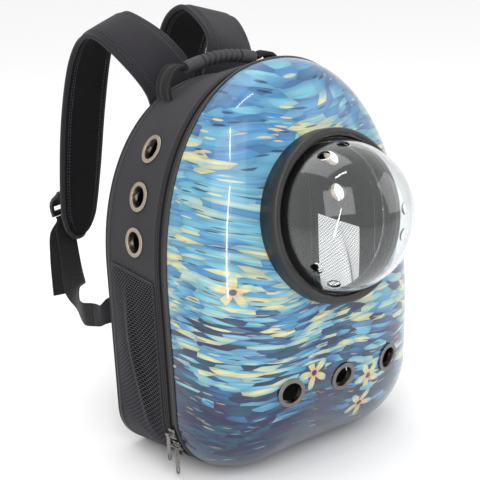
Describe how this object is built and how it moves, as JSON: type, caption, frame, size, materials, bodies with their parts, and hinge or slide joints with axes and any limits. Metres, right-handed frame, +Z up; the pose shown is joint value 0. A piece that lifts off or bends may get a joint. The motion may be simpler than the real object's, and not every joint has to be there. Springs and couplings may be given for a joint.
{
  "type": "bubble pet carrier backpack",
  "caption": "Hard-front pet carrier backpack with a clear bubble window, fabric sides with net windows, metal air eyelets, a moulded handle and padded shoulder straps.",
  "frame": {"origin": "middle of the base's underside, on the surface that the carrier stands on", "axes": "+Z up, -Y towards the hard front, +X to the right seen from the front"},
  "size_m": [0.3176, 0.4489, 0.4612],
  "materials": {
    "shell": "glossy moulded, painted in brush strokes",
    "ring": "satin moulded",
    "dome": "clear acrylic",
    "metal": "satin nickel",
    "dark_metal": "gunmetal",
    "piping": "satin cord",
    "fabric": "woven polyester",
    "net": "open net",
    "webbing": "ribbed webbing",
    "grip": "matte moulded rubber"
  },
  "bodies": {
    "root": {"front_shell": "shell", "bubble_ring": "ring", "bubble_dome": "dome", "eyelet_front_1": "metal", "eyelet_front_2": "metal", "eyelet_front_3": "metal", "eyelet_left_1": "metal", "eyelet_left_2": "metal", "eyelet_left_3": "metal", "eyelet_right_1": "metal", "eyelet_right_2": "metal", "eyelet_right_3": "metal", "rim_piping": "piping", "back_piping": "piping", "zip_band": "fabric", "zip_chain": "webbing", "zip_slider_upper": "dark_metal", "zip_slider_lower": "dark_metal", "gusset": "fabric", "back_panel": "fabric", "handle_grip": "grip", "mesh_left": "net", "handle_end_left": "webbing", "strap_left": "fabric", "buckle_left": "ring", "webbing_left": "webbing", "tail_left": "webbing", "tab_left": "fabric", "mesh_right": "net", "handle_end_right": "webbing", "strap_right": "fabric", "buckle_right": "ring", "webbing_right": "webbing", "tail_right": "webbing", "tab_right": "fabric"},
    "pull_upper_body": {"zip_pull_upper": "dark_metal"},
    "pull_lower_body": {"zip_pull_lower": "dark_metal"}
  },
  "joints": [
    {"name": "zip_pull_upper_swing", "type": "hinge", "parent": "root", "child": "pull_upper_body", "pos_m": [-0.1513, -0.0429, 0.04856], "axis": [0, 1, 0], "range_deg": [-5, 150]},
    {"name": "zip_pull_lower_swing", "type": "hinge", "parent": "root", "child": "pull_lower_body", "pos_m": [-0.14556, -0.0485, 0.03331], "axis": [0, 1, 0], "range_deg": [-40, 150]}
  ]
}
